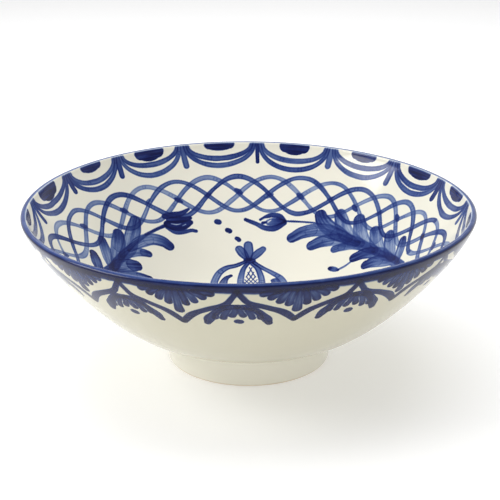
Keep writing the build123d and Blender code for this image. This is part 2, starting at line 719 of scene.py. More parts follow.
@dataclass(frozen=True)
class CobaltBrushwork:
    """Cobalt wash under the same glaze. The wash attribute holds how much pigment lies at each point."""

    glaze: CreamGlaze
    name: str = "cobalt_brushwork"
    shine: float = 0.32
    most: float = 3.0
    stains: tuple[tuple[float, tuple[int, int, int]], ...] = (
        (0.0, (255, 255, 255)), (0.10, (222, 229, 246)), (0.3, (152, 171, 218)), (0.6, (92, 116, 182)),
        (1.0, (50, 74, 150)), (1.5, (22, 42, 122)), (2.1, (4, 20, 92)), (3.0, (0, 8, 66)),
    )

    def make(self) -> bpy.types.Material:
        """The finished material.

        Returns:
            The finished material.
        """
        sheet = NodeSheet(self.name)
        ground = self.glaze.coat(sheet)
        sheet.shader.inputs["Specular IOR Level"].default_value = self.shine
        wash = sheet.node("ShaderNodeAttribute", attribute_name="wash").outputs["Fac"]
        mottle = sheet.span(sheet.noise(300, 4, 0.65), 0.25, 0.75, 0.88, 1.12)
        pigment = sheet.maths("MULTIPLY", sheet.maths("MULTIPLY", wash, mottle), 1 / self.most)
        stain = sheet.ramp(pigment, [(at / self.most, linear(*c)) for at, c in self.stains])
        sheet.paint(colour=sheet.blend("MULTIPLY", 1.0, ground, stain))
        return sheet.material


@dataclass(frozen=True)
class BareClay:
    """Unglazed fired clay: matt, warm white, with a fine tooth and the odd iron speck."""

    name: str = "bare_clay"
    light: Colour = linear(233, 224, 207)
    dark: Colour = linear(211, 197, 173)
    iron: Colour = linear(120, 92, 64)

    def make(self) -> bpy.types.Material:
        """The finished material.

        Returns:
            The finished material.
        """
        sheet = NodeSheet(self.name)
        tint = sheet.blend("MIX", sheet.noise(45, 6, 0.6), self.light, self.dark)
        tint = sheet.blend("MIX", sheet.span(sheet.noise(700, 2), 0.72, 0.78, 0, 0.7), tint, self.iron)
        grit = sheet.noise(1500, 3, 0.7)
        sheet.paint(colour=tint, roughness=sheet.span(grit, 0.3, 0.7, 0.72, 0.92))
        sheet.relief([(sheet.noise(260, 4), 0.05), (grit, 0.04)])
        return sheet.material


@dataclass(frozen=True)
class FiredSlip:
    """The luting slip between foot and floor: smoother and greyer than the clay, wiped on wet."""

    name: str = "fired_slip"
    light: Colour = linear(226, 218, 203)
    dark: Colour = linear(198, 188, 170)

    def make(self) -> bpy.types.Material:
        """The finished material.

        Returns:
            The finished material.
        """
        sheet = NodeSheet(self.name)
        wiped = sheet.noise(120, 3, 0.5, stretch=(1, 1, 6))
        sheet.paint(colour=sheet.blend("MIX", wiped, self.dark, self.light),
                    roughness=sheet.span(wiped, 0.3, 0.7, 0.55, 0.8))
        sheet.relief([(wiped, 0.08)])
        return sheet.material


@dataclass(frozen=True)
class StudioPaper:
    """Matt white backdrop paper that glows a little, as if lit from below."""

    name: str = "studio_paper"
    light: Colour = linear(238, 238, 238)
    dark: Colour = linear(235, 235, 235)
    glow: float = 0.28

    def make(self) -> bpy.types.Material:
        """The finished material.

        Returns:
            The finished material.
        """
        sheet = NodeSheet(self.name)
        fibre = sheet.noise(900, 4)
        sheet.paint(colour=sheet.blend("MIX", fibre, self.dark, self.light),
                    roughness=sheet.span(fibre, 0, 1, 0.9, 1.0))
        sheet.shader.inputs["Emission Color"].default_value = (1, 1, 1, 1)
        sheet.shader.inputs["Emission Strength"].default_value = self.glow
        sheet.relief([(fibre, 0.01)])
        return sheet.material


# --- Meshes --------------------------------------------------------------------------------------


def add_piece(name: str, vertices: np.ndarray, faces: np.ndarray | list, material: bpy.types.Material,
              slot: Slot, replaces: str | None = None) -> bpy.types.Object:
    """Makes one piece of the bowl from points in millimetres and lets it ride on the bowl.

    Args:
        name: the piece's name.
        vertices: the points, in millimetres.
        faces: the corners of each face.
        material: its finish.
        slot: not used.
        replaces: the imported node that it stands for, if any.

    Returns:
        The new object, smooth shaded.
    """
    mesh = bpy.data.meshes.new(name)
    corners = faces if isinstance(faces, list) else faces.tolist()
    mesh.from_pydata((vertices * MM).tolist(), [], corners)
    mesh.materials.append(material)
    mesh.polygons.foreach_set("use_smooth", np.ones(len(mesh.polygons), bool))
    piece = bpy.data.objects.new(name, mesh)
    bpy.context.scene.collection.objects.link(piece)
    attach(piece, BODY)
    if replaces:
        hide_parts(replaces)
    log.info("%s: %d faces", name, len(mesh.polygons))
    return piece


def add_number(piece: bpy.types.Object, name: str, values: np.ndarray) -> None:
    """Gives each vertex a number that the finish reads."""
    layer = piece.data.attributes.new(name, "FLOAT", "POINT")
    layer.data.foreach_set("value", np.ascontiguousarray(values, np.float32))


@dataclass
class TurnedPiece:
    """A ring or a disc turned about the bowl's axis from a closed section, then warped in firing."""

    name: str
    section: np.ndarray
    segments: int = 384
    warp: FiringWarp = field(default_factory=FiringWarp)
    sharp: float = 50.0
    # whether the glaze here takes the painted shade of the outside faces
    outside: bool = False

    def angles(self) -> np.ndarray:
        """The angle of each segment's start."""
        return np.arange(self.segments) * 2 * math.pi / self.segments

    def mesh(self) -> tuple[np.ndarray, list]:
        """Vertices and faces, with one vertex where the section touches the axis.

        Returns:
            The vertices and the corners of each face.
        """
        theta = self.angles()
        vertices, rings = [], []
        count = 0
        for r, z in self.section:
            on_axis = r < 1e-6
            angle = theta[:1] if on_axis else theta
            height = z + self.warp.rise(angle, np.full(len(angle), z))
            vertices.append(np.stack([r * np.cos(angle), r * np.sin(angle), height], axis=1))
            steps = np.zeros(self.segments, int) if on_axis else np.arange(self.segments)
            rings.append(count + steps)
            count += len(angle)
        faces = []
        for low, high in zip(rings, rings[1:] + rings[:1]):
            if low[0] == low[-1] and high[0] == high[-1]:
                continue
            quads = np.stack([low, np.roll(low, -1), np.roll(high, -1), high], axis=1)
            if low[0] == low[-1]:
                quads = quads[:, [0, 2, 3]]
            elif high[0] == high[-1]:
                quads = quads[:, [0, 1, 2]]
            faces += quads.tolist()
        return np.vstack(vertices), faces

    def make(self, material: bpy.types.Material, slot: Slot) -> bpy.types.Object:
        """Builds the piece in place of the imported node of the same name.

        Args:
            material: its finish.
            slot: the record's slot that the finish belongs to.

        Returns:
            The new piece.
        """
        vertices, faces = self.mesh()
        piece = add_piece(self.name, vertices, faces, material, slot, replaces=self.name)
        piece.data.set_sharp_from_angle(angle=math.radians(self.sharp))
        add_number(piece, "outside", np.full(len(vertices), float(self.outside)))
        return piece


# --- Brush strokes -------------------------------------------------------------------------------


@dataclass
class BrushStroke:
    """One stroke of cobalt: its line on the face, half its width and its pigment along it."""

    line: np.ndarray
    side: np.ndarray
    half_width: np.ndarray
    tone: np.ndarray
    edge: float
    streaks: float
    soft: float
    seed: int
    run: int = 24  # points of the line that are tried together
    rim_width: float = 0.6  # of the darker line where the wash pools at its edge
    streak_wide: float = 0.75
    streak_long: float = 15.0

    def lay(self, where: np.ndarray) -> tuple[np.ndarray, np.ndarray]:
        """Lays the stroke on points of the face.

        Args:
            where: the points, in millimetres.

        Returns:
            The pigment at each point, and how far the stroke covers it, from 0 to 1.
        """
        pigment, cover = np.zeros(len(where)), np.zeros(len(where))
        reach = self.half_width.max() + self.soft
        last = len(self.line) - 1
        grain = HandNoise(self.seed)
        step = float(np.linalg.norm(self.line[1] - self.line[0]))
        for first in range(0, last, self.run):
            stop = min(first + self.run, last)
            line = self.line[first:stop + 1]
            inside = ((where > line.min(0) - reach) & (where < line.max(0) + reach)).all(1)
            near = np.flatnonzero(inside)
            if not len(near):
                continue
            start, move = line[:-1], np.diff(line, axis=0)
            offset = where[near][:, None, :] - start[None]
            share = np.clip((offset * move).sum(2) / np.maximum((move * move).sum(1), 1e-9), 0, 1)
            gap = offset - share[..., None] * move[None]
            distance = np.linalg.norm(gap, axis=2)
            best = distance.argmin(1)
            rows = np.arange(len(near))
            along = first + best + share[rows, best]
            distance = distance[rows, best]
            across = (gap[rows, best] * self.side[first:stop][best]).sum(1)
            ticks = np.arange(last + 1)
            half = np.interp(along, ticks, self.half_width)
            tone = np.interp(along, ticks, self.tone)
            inward = half - distance
            covered = smooth_step(inward, -self.soft, self.soft)
            rim = self.edge * np.exp(-((inward - self.soft) / self.rim_width) ** 2)
            hairs = grain.at(across / self.streak_wide + 9, along * step / self.streak_long)
            streak = 1 + self.streaks * 2 * (hairs - 0.5)
            laid = tone * covered * (1 + rim) * streak
            pigment[near] = np.maximum(pigment[near], laid)
            cover[near] = np.maximum(cover[near], covered)
        return pigment, cover

    def wipes(self) -> bool:
        """Whether the stroke lifts pigment instead of laying it."""
        return float(self.tone[0]) < 0


@dataclass
class Brush:
    """Draws strokes on one glazed face. Every stroke gets its own seed, in the order of drawing."""

    face: GlazedFace
    seed: int = 100
    step: float = 1.0
    waver: float = 0.35
    waver_length: float = 9.0
    fullness: float = 1.25
    swell: float = 0.4
    swell_length: float = 7.0
    load: Point = (0.85, 0.30)  # the least pigment that the brush carries, and what it may carry more
    load_length: float = 13.0

    def stroke(self, theta: np.ndarray, down: np.ndarray, width: Values, tone: Values, edge: float = 0.25,
               streaks: float = 0.18, soft: float = 0.45, shake: float = 1.0) -> BrushStroke:
        """Makes a stroke from the line's coordinates, with a slight waver in line and width.

        Args:
            theta: angles round the bowl, in radians.
            down: distances down the face from the rim.
            width: half widths along the stroke.
            tone: pigment along the stroke.
            edge: how much darker the pigment pools at its edge.
            streaks: how strongly the hairs show.
            soft: how far the edge fades out.
            shake: how unsteady the hand is, 1 for the brush's own.

        Returns:
            The stroke.
        """
        self.seed += 1
        noise = HandNoise(self.seed)
        count = len(theta)
        way = np.arange(count) * self.step
        sway = self.waver * shake * 2 * (noise.at(way / self.waver_length, 0.5) - 0.5)
        line = self.face.place(theta, np.maximum(down + sway, 0))
        heading = np.gradient(line, axis=0)
        side = np.cross(heading, self.face.normal(theta, down))
        side /= np.maximum(np.linalg.norm(side, axis=1), 1e-9)[:, None]
        swell = self.swell * shake * (noise.at(way / self.swell_length, 3.5) - 0.5)
        half = spread(width, count) * self.fullness + swell
        depth = spread(tone, count) * (self.load[0] + self.load[1] * noise.at(way / self.load_length, 7.5))
        return BrushStroke(line, side, half, depth, edge, streaks, soft, self.seed)

    def polar(self, points: list[Point], width: Values, tone: Values, **rest: float) -> BrushStroke:
        """A stroke through points given as degrees round the bowl and millimetres down from the rim.

        Args:
            points: the given points of the line.
            width: half widths along the stroke.
            tone: pigment along the stroke.
            rest: edge, streaks, soft and shake, as for stroke.

        Returns:
            The stroke.
        """
        radius = float(self.face.radius(np.mean([p[1] for p in points])))
        flat = [(math.radians(a) * radius, d) for a, d in points]
        line = smooth_line(flat, self.step)
        return self.stroke(line[:, 0] / radius, line[:, 1], width, tone, **rest)

    def plan(self, points: list[Point], width: Values, tone: Values, **rest: float) -> BrushStroke:
        """A stroke through points given as seen from above.

        Args:
            points: the given points of the line.
            width: half widths along the stroke.
            tone: pigment along the stroke.
            rest: edge, streaks, soft and shake, as for stroke.

        Returns:
            The stroke.
        """
        line = smooth_line(points, self.step)
        theta, down = self.face.from_plan(line[:, 0], line[:, 1])
        return self.stroke(theta, down, width, tone, **rest)


@dataclass
class RimWash:
    """The dark band wiped round the lip with a loaded brush, measured down the outside from the shoulder."""

    tone: float = 2.1
    reach: float = 3.7
    wobble: float = 1.4
    ragged: float = 0.5
    fade: float = 1.3
    crest: Point = (-9.0, -1.3)  # the stretch over the lip crest that is left lighter: partly the wash running thin on the edge, partly a painted highlight
    crest_fade: float = 0.8
    crest_thinning_and_highlight: float = 0.55
    inner_end: float = -5.1
    inner_fade: Point = (-0.5, 0.6)
    streak: Point = (0.82, 0.36)
    waves: int = 61
    seed: int = 11

    def pigment(self, theta: np.ndarray, down: np.ndarray) -> np.ndarray:
        """Pigment of the band at an angle and a distance from the shoulder.

        Args:
            theta: angles round the bowl, in radians.
            down: distances down the outside from the shoulder.

        Returns:
            The pigment at each point.
        """
        noise = HandNoise(self.seed)
        turns = np.mod(theta, 2 * math.pi) / (2 * math.pi) * self.waves
        edge = self.reach + self.wobble * (noise.at(turns, 1.5) - 0.5)
        edge = edge + self.ragged * (noise.at(turns * 5, 9.5) - 0.5)
        outside = smooth_step(edge - down, -self.fade, self.fade)
        inside = smooth_step(down - self.inner_end, *self.inner_fade)
        start, end = self.crest
        # painted highlight along the lip crest, together with the wash running thinner there
        crest = smooth_step(down, start, start + self.crest_fade)
        crest = crest * (1 - smooth_step(down, end - self.crest_fade, end))
        streak = self.streak[0] + self.streak[1] * noise.at(turns * 2, down / 0.9 + 20)
        return self.tone * outside * inside * (1 - self.crest_thinning_and_highlight * crest) * streak


# --- Painted motifs ------------------------------------------------------------------------------


@dataclass
class Patch:
    """A grid over part of a face, on which a motif's film is cut out."""

    theta: np.ndarray
    down: np.ndarray
    closed: bool

    @classmethod
    def ring(cls, face: GlazedFace, top: float, bottom: float, cell: float) -> "Patch":
        """A full ring between two distances down from the rim.

        Args:
            face: the face that it lies on.
            top: the upper distance down from the rim.
            bottom: the lower distance down from the rim.
            cell: the grid's spacing.

        Returns:
            The patch.
        """
        radius = float(face.radius((top + bottom) / 2))
        around = int(2 * math.pi * radius / cell)
        theta = np.arange(around) * 2 * math.pi / around
        down = np.linspace(top, bottom, int((bottom - top) / cell) + 1)
        return cls(*np.meshgrid(theta, down, indexing="ij"), closed=True)

    @classmethod
    def square(cls, face: GlazedFace, low: Point, high: Point, cell: float) -> "Patch":
        """A rectangle seen from above."""
        x, y = (np.arange(a, b + cell, cell) for a, b in zip(low, high))
        return cls(*face.from_plan(*np.meshgrid(x, y, indexing="ij")), closed=False)

    def cells(self, keep: np.ndarray) -> np.ndarray:
        """The corners of the cells with a kept corner, with no two cells that meet only at a point.

        Args:
            keep: which points of the grid to keep.

        Returns:
            Four corners for each cell.
        """
        if self.closed:
            keep = np.vstack([keep, keep[:1]])
        held = keep[:-1, :-1] | keep[1:, :-1] | keep[:-1, 1:] | keep[1:, 1:]
        for _ in range(4):
            a, b, c, d = held[:-1, :-1], held[1:, :-1], held[:-1, 1:], held[1:, 1:]
            pinch = (a & d & ~b & ~c) | (b & c & ~a & ~d)
            b |= pinch
            a |= pinch
            c |= pinch
            d |= pinch
        i, j = np.nonzero(held)
        rows, columns = self.theta.shape
        nxt = (i + 1) % rows if self.closed else i + 1
        near, far = i * columns + j, nxt * columns + j
        return np.stack([near, far, far + 1, near + 1], axis=1)


@dataclass
class Motif:
    """One painted motif: its strokes, and the patch of glaze that it lies on."""

    name: str
    strokes: list[BrushStroke]
    patch: Patch
    layer: int = 0


@dataclass
class Painting:
    """All the motifs on one face, laid over each other as translucent washes."""

    face: GlazedFace
    band: RimWash
    material: bpy.types.Material
    motifs: list[Motif] = field(default_factory=list)
    relief: float = 0.07
    dip: float = 0.02
    sunk: float = 0.12  # how far the back of a film lies under the glaze
    show_from: float = 0.02  # the cover at which a film begins
    full_relief: float = 0.5  # the cover at which a film has its whole relief
    full_overlap: float = 0.3
    overlap: float = 0.025  # between two films that cross
    crowding: float = 1.1  # how much less a painted place takes of the next wash
    band_resist: float = 0.7
    clear_lip: Point = (1.4, 3.2)
    wiped: float = 0.93

    def band_place(self, down: np.ndarray) -> np.ndarray:
        """Distance from the shoulder, as the band measures it.

        Args:
            down: distances down the face from the rim.

        Returns:
            The distances in the band's own measure.
        """
        if self.face.which is BowlFace.OUTSIDE:
            return down
        lip = self.face.section.lip(0)[0]
        return -down - arc_length(bezier(lip, 13))[-1]

    def pigment(self, theta: np.ndarray, down: np.ndarray) -> np.ndarray:
        """Pigment of every motif and the band, added up.

        Args:
            theta: angles round the bowl, in radians.
            down: distances down the face from the rim.

        Returns:
            The pigment at each point.
        """
        where = self.face.place(theta, down)
        total = self.band.pigment(theta, self.band_place(down))
        bare = total.copy()
        takes = 1 - self.band_resist * np.clip(total / self.band.tone, 0, 1)
        if self.face.which is BowlFace.INSIDE:
            takes = takes * smooth_step(down, *self.clear_lip)
        for motif in self.motifs:
            for stroke in motif.strokes:
                laid, cover = stroke.lay(where)
                taken = laid * takes / (1 + self.crowding * np.maximum(total - bare, 0))
                total = total * (1 - self.wiped * cover) if stroke.wipes() else total + taken
        return total

    def make_film(self, motif: Motif) -> bpy.types.Object:
        """Cuts one motif's film out of its patch and raises it a hair above the glaze.

        Args:
            motif: what to paint. Its layer keeps it apart from the films that it crosses.

        Returns:
            The film, a thin closed shell whose edge dips into the glaze.
        """
        patch = motif.patch
        shape = patch.theta.shape
        where = self.face.place(patch.theta.ravel(), patch.down.ravel())
        cover = np.zeros(len(where))
        for stroke in motif.strokes:
            cover = np.maximum(cover, stroke.lay(where)[1])
        quads = patch.cells((cover > self.show_from).reshape(shape))
        used, quads = np.unique(quads, return_inverse=True)
        quads = quads.reshape(-1, 4)
        if self.face.which is BowlFace.OUTSIDE:
            quads = quads[:, ::-1]
        theta, down, cover = patch.theta.ravel()[used], patch.down.ravel()[used], cover[used]
        lift = self.relief * smooth_step(cover, 0, self.full_relief) - self.dip
        lift = lift + self.overlap * motif.layer * smooth_step(cover, 0, self.full_overlap)
        lift = np.where(cover <= self.show_from / 2, -self.sunk / 2, lift)
        top = self.face.place(theta, down, lift)
        low = self.face.place(theta, down, -self.sunk)
        count = len(used)
        edges = np.stack([quads, np.roll(quads, -1, axis=1)], axis=2).reshape(-1, 2)
        forward = edges[:, 0] * count + edges[:, 1]
        backward = edges[:, 1] * count + edges[:, 0]
        rim = edges[~np.isin(forward, backward)]
        walls = np.stack([rim[:, 1], rim[:, 0], rim[:, 0] + count, rim[:, 1] + count], axis=1)
        faces = np.vstack([quads, quads[:, ::-1] + count, walls])
        piece = add_piece(motif.name, np.vstack([top, low]), faces, self.material, Slot.COBALT)
        wash = self.pigment(theta, down)
        add_number(piece, "wash", np.concatenate([wash, wash]))
        # the outside attribute selects the painted shade in the glaze colour under the film
        add_number(piece, "outside", np.full(2 * count, float(self.face.which is BowlFace.OUTSIDE)))
        normal = self.face.normal(theta, down)
        piece.data.normals_split_custom_set_from_vertices(np.vstack([normal, -normal]).tolist())
        return piece

    def make(self) -> None:
        """Makes every motif's film."""
        for motif in self.motifs:
            self.make_film(motif)


@dataclass
class RimBorder:
    """The scalloped border inside the rim: drops at the joints, two swags a bay, and a half moon in each."""

    brush: Brush
    cell: float
    joints: Values = (0.5, 21.5, 42.5, 64.5, 87.5, 110.5, 132, 153, 176.5, 199, 221, 243.5, 266, 289,
                      312, 336)
    drop_ends: Values = (21, 21, 24, 20, 20, 22, 21, 20, 24, 22, 21, 23, 22, 20, 22, 21)
    drop_tones: Values = (0.8, 1.25, 0.95, 0.7, 1.6, 0.85, 1.2, 1.15, 1.0, 1.2, 0.9, 1.1, 1.3, 0.9, 1.1, 1.0)
    drop_leans: Values = (-0.5, 0.3, 0.5, 0.1, -0.3, -0.5, 0.4, -0.6)
    thin_drop: int = 4
    drop_widths: Point = (1.25, 2.15)
    swag_top: float = 2.0
    swag_depths: Point = (15.5, 23.0)
    swag_widths: Values = (1.2, 1.7, 1.9, 1.7, 1.2)
    swag_tones: Values = (0.85, 1.0, 0.95)
    moon: Point = (4.7, 10.0)
    deep_bay: int = 7

    def bays(self) -> list[tuple[float, float, int]]:
        """Start and end angle of each bay, and its number."""
        ends = self.joints[1:] + (self.joints[0] + 360,)
        return [(a, b, k) for k, (a, b) in enumerate(zip(self.joints, ends))]

    def drops(self) -> list[BrushStroke]:
        """One rounded drop at each joint.

        Returns:
            The strokes, in the order of painting.
        """
        made = []
        for k, (at, end, tone) in enumerate(zip(self.joints, self.drop_ends, self.drop_tones)):
            lean = self.drop_leans[k % len(self.drop_leans)]
            wide = self.drop_widths[0] if k == self.thin_drop else self.drop_widths[1]
            points = [(at, 3), (at + lean / 2, end * 0.55), (at + lean, end - wide)]
            widths = (wide * 0.7, wide * 0.95, wide)
            made.append(self.brush.polar(points, widths, (tone * 0.9, tone), edge=0.35))
        return made

    def swags(self) -> list[BrushStroke]:
        """Two nested swags in each bay, fanning out of the joints.

        Returns:
            The strokes, in the order of painting.
        """
        made, top = [], self.swag_top
        for start, end, k in self.bays():
            middle, half = (start + end) / 2, (end - start) / 2
            for which, depth in enumerate(self.swag_depths):
                low = depth + 1.6 * math.sin(2.4 * k + which) + (2.5 if k == self.deep_bay else 0)
                wide = half - (0.8 if which else 1.6)
                sweep = np.radians(np.linspace(0, 180, 11))
                points = [(middle + math.cos(a) * wide, top + (low - top) * math.sin(a)) for a in sweep]
                tone = self.swag_tones[(k + which) % 3]
                tones = (tone, tone * 0.9, tone)
                made.append(self.brush.polar(points, self.swag_widths, tones, edge=0.35))
        return made

    def moons(self) -> list[BrushStroke]:
        """A dark half moon on the rim in the middle of each bay.

        Returns:
            The strokes, in the order of painting.
        """
        made = []
        for start, end, k in self.bays():
            middle = (start + end) / 2
            wide = self.moon[0] + 0.5 * math.sin(1.9 * k)
            deep = self.moon[1] + 1.6 * math.sin(2.7 * k + 0.4) + (3 if k == self.deep_bay else 0)
            points = [(middle + t * wide * 0.62, deep * 0.34) for t in (-1, -0.5, 0, 0.5, 1)]
            widths = tuple(deep * 0.52 * math.sqrt(1 - (0.7 * t) ** 2) for t in np.linspace(-1, 1, 9))
            tones = (1.75, 2.0, 1.8)
            made.append(self.brush.polar(points, widths, tones, edge=0.15, streaks=0.3, shake=0.2))
        return made

    def motifs(self) -> list[Motif]:
        """The border's three motifs.

        Returns:
            The motifs, in the order of painting.
        """
        face = self.brush.face
        return [Motif("rim_swags", self.swags(), Patch.ring(face, 0.0, 30, self.cell)),
                Motif("rim_drops", self.drops(), Patch.ring(face, 0.0, 28, self.cell), 1),
                Motif("rim_half_moons", self.moons(), Patch.ring(face, 0.0, 16, self.cell), 2)]


@dataclass
class PlaitBorder:
    """The plaited band below the scallops: four wavy strands that cross and darken where they do."""

    brush: Brush
    cell: float
    knots: Values = (13, 21.5, 31, 39.5, 50, 60.5, 71.5, 82.5, 93.5, 104.5, 115.5, 127, 137.5, 148,
                     158.5, 170.5)
    near_knots: int = 17
    middle: float = 48.0
    swing: float = 16.0
    tones: Values = (0.40, 0.78, 0.45, 0.68)
    wander: float = 4.0
    changes: int = 66  # how often a strand's width and pigment change on its way round

    def knot_angles(self) -> np.ndarray:
        """The angle of every knot round the bowl, and of one full turn more.

        Returns:
            The angles, in degrees.
        """
        near = np.linspace(self.knots[-1], self.knots[0] + 360, self.near_knots + 2)[1:-1]
        once = np.concatenate([self.knots, near])
        return np.concatenate([once, once + 360])

    def strands(self) -> list[BrushStroke]:
        """Four strands, each one knot behind the last.

        Returns:
            The strokes, in the order of painting.
        """
        angles = self.knot_angles()
        turn = len(angles) // 2
        knot = np.arange(turn * 6 + 1) / 6
        change = np.arange(self.changes)
        made = []
        for strand, tone in enumerate(self.tones):
            noise = HandNoise(40 + strand)
            place = np.mod(knot, turn)
            fade = np.clip(np.minimum(knot, turn - knot) / 1.5, 0, 1)
            wander = self.wander * (noise.at(place / 1.7, 2.5) - 0.5) * fade
            down = self.middle + self.swing * np.sin(math.pi / 2 * (knot - strand)) + wander
            theta = np.interp(knot, np.arange(len(angles)), angles)
            points = list(zip(theta, down))
            tones = tuple(tone * (0.6 + 0.8 * noise.at(change * 0.9, 5.5)))
            widths = tuple(1.15 + 0.95 * noise.at(change * 0.8, 8.5))
            made.append(self.brush.polar(points, widths, tones, edge=0.55, streaks=0.2))
        return made

    def crossings(self) -> list[BrushStroke]:
        """A short dark touch at each knot.

        Returns:
            The strokes, in the order of painting.
        """
        made = []
        angles = self.knot_angles()
        for k, at in enumerate(angles[:len(angles) // 2]):
            lean = 0.9 if k % 2 else -0.9
            middle = self.middle + 2.2 * math.sin(2.1 * k)
            points = [(at - lean, middle - 1.6), (at + lean, middle + 1.6)]
            wide, tone = (1.2, 0.6) if k % 2 else (1.9, 1.1)
            made.append(self.brush.polar(points, (wide * 0.7, wide, wide * 0.6), (tone,), edge=0.1))
        return made

    def motifs(self) -> list[Motif]:
        """The plait."""
        return [Motif("guilloche_band", self.strands() + self.crossings(),
                      Patch.ring(self.brush.face, 26, 69, self.cell))]


@dataclass
class Pomegranate:
    """The fruit at the centre: crown, body with a lattice, and an arm curling round each side."""

    brush: Brush
    cell: float
    crown_foot: Point = (0.6, 94.5)
    lattice_top: Point = (1.6, 89.5)
    lattice_low: float = 34.0
    net_slope: float = 2.2
    net_gap: float = 4.8
    net_fineness: float = 0.6
    body_bottom: float = 26.0

    def crown(self) -> list[BrushStroke]:
        """Three petals and the knot that they spring from.

        Returns:
            The strokes, in the order of painting.
        """
        plan, x, y = self.brush.plan, *self.crown_foot
        wash = dict(edge=0.9, streaks=0.3)
        upright = [(x, y), (x - 0.6, y + 6), (x - 1.0, y + 11.3)]
        left = [(x - 1, y), (x - 4.6, y + 3.8), (x - 8.6, y + 8.0)]
        right = [(x + 1, y), (x + 6.2, y + 4.0), (x + 11.4, y + 7.6)]
        knot = [(x - 2.6, y - 0.8), (x + 2.8, y - 1.2)]
        return [plan(upright, (1.6, 2.8, 3.3, 3.1), (1.0, 0.7, 0.7), **wash),
                plan(left, (1.2, 2.5, 3.1, 2.8), (0.95, 0.7), **wash),
                plan(right, (1.2, 2.5, 2.8, 2.3), (0.95, 0.6), **wash),
                plan(knot, (2.0, 2.3, 2.0), (1.3,), edge=0.1)]

    def body(self) -> list[BrushStroke]:
        """The fruit's two broad outlines, closed at the bottom.

        Returns:
            The strokes, in the order of painting.
        """
        plan, low = self.brush.plan, self.body_bottom
        wash = dict(edge=1.1, streaks=0.25)
        left = [(-0.5, 91.5), (-4.4, 86), (-6.4, 77), (-6.8, 66), (-6.6, 52), (-4.5, 37), (0.5, low)]
        right = [(2.6, 91), (7.6, 86), (10.3, 77), (11.0, 66), (10.6, 52), (8.0, 37), (1.5, low)]
        return [plan(left, (1.3, 2.0, 2.25, 2.3, 2.2, 1.8), (0.9, 0.5, 0.45, 0.55), **wash),
                plan(right, (1.3, 2.1, 2.3, 2.3, 2.2, 1.8), (0.9, 0.5, 0.45, 0.55), **wash)]

    def lattice(self) -> list[BrushStroke]:
        """Thin crossed lines that fill the wedge between the outlines.

        Returns:
            The strokes, in the order of painting.
        """
        made = []
        line = dict(edge=0.0, streaks=0.1, soft=0.35, shake=0.4)
        for lean in (-1, 1):
            start = self.lattice_top[1] - 2.0
            while start > self.lattice_low + 14:
                end = start
                for _ in range(4):
                    end = start - self.net_slope * (self.wedge(start) + self.wedge(end))
                points = [(self.wedge_middle(start) - lean * self.wedge(start), start),
                          (self.wedge_middle(end) + lean * self.wedge(end), end)]
                made.append(self.brush.plan(points, (0.36,), (1.15,), **line))
                start -= self.net_gap
        return made

    def wedge(self, y: float) -> float:
        """Half the width of the lattice's wedge."""
        return min(6.0, 0.5 + 0.28 * (self.lattice_top[1] - y))

    def wedge_middle(self, y: float) -> float:
        """The middle of the lattice's wedge."""
        return self.lattice_top[0] + 0.4 * min(1.0, (self.lattice_top[1] - y) / 20)

    def arms(self) -> list[BrushStroke]:
        """An arm round each side of the fruit, with a curl inside it.

        Returns:
            The strokes, in the order of painting.
        """
        plan = self.brush.plan
        wash = dict(edge=1.0, streaks=0.3)
        left = [(-2.5, 93), (-10, 89.3), (-18.5, 86), (-24.5, 80), (-27.6, 71.5), (-28.4, 62),
                (-26, 47), (-18, 32)]
        right = [(4.5, 92), (12, 86.5), (20, 80.8), (26.5, 74), (29.2, 65.5), (29.0, 56),
                 (25.5, 43), (18, 30)]
        left_curl = [(-14.8, 78.4), (-18.6, 75), (-20.6, 69), (-21.0, 61), (-19.2, 50), (-14.5, 40)]
        right_curl = [(21.8, 71.0), (22.8, 67), (23.2, 61), (22.0, 51), (18.4, 41)]
        return [plan(left, (1.3, 1.7, 2.2, 2.5, 2.4, 1.9, 1.0), (0.9, 0.6, 0.55, 0.7), **wash),
                plan(right, (1.3, 1.7, 2.1, 2.5, 2.3, 1.9, 1.0), (0.9, 0.55, 0.5, 0.7), **wash),
                plan(left_curl, (1.2, 2.5, 3.1, 2.9, 1.2), (1.2, 0.6, 0.55), **wash),
                plan(right_curl, (2.8, 3.5, 3.4, 2.6, 1.0), (0.9, 0.8, 0.7), edge=0.35, streaks=0.3)]

    def base(self) -> list[BrushStroke]:
        """The short stalk under the fruit and the two leaves that lie across it.

        Returns:
            The strokes, in the order of painting.
        """
        plan = self.brush.plan
        leaf = dict(edge=0.45, streaks=0.3)
        return [plan([(1, 27), (2.2, 15), (0.5, 2), (-1.5, -10)], (2.0, 1.5, 1.2, 0.8), (1.3, 1.0), edge=0.3),
                plan([(0, 18), (-9, 16), (-19, 9), (-26, -1)], (1.0, 3.4, 4.0, 1.0), (1.3, 0.95), **leaf),
                plan([(2, 18), (11, 16), (21, 10), (28, 0)], (1.0, 3.4, 4.0, 1.0), (1.3, 0.9), **leaf)]

    def motifs(self) -> list[Motif]:
        """The fruit, its lattice and its arms.

        Returns:
            The motifs, in the order of painting.
        """
        face = self.brush.face
        fruit = self.crown() + self.body() + self.base()
        around_arms = Patch.square(face, (-36, 24), (36, 98), self.cell)
        around_net = Patch.square(face, (-9, 28), (14, 94), self.cell * self.net_fineness)
        around_fruit = Patch.square(face, (-34, -16), (36, 114), self.cell)
        return [Motif("pomegranate_arms", self.arms(), around_arms),
                Motif("pomegranate_lattice", self.lattice(), around_net, 1),
                Motif("pomegranate", fruit, around_fruit, 2)]


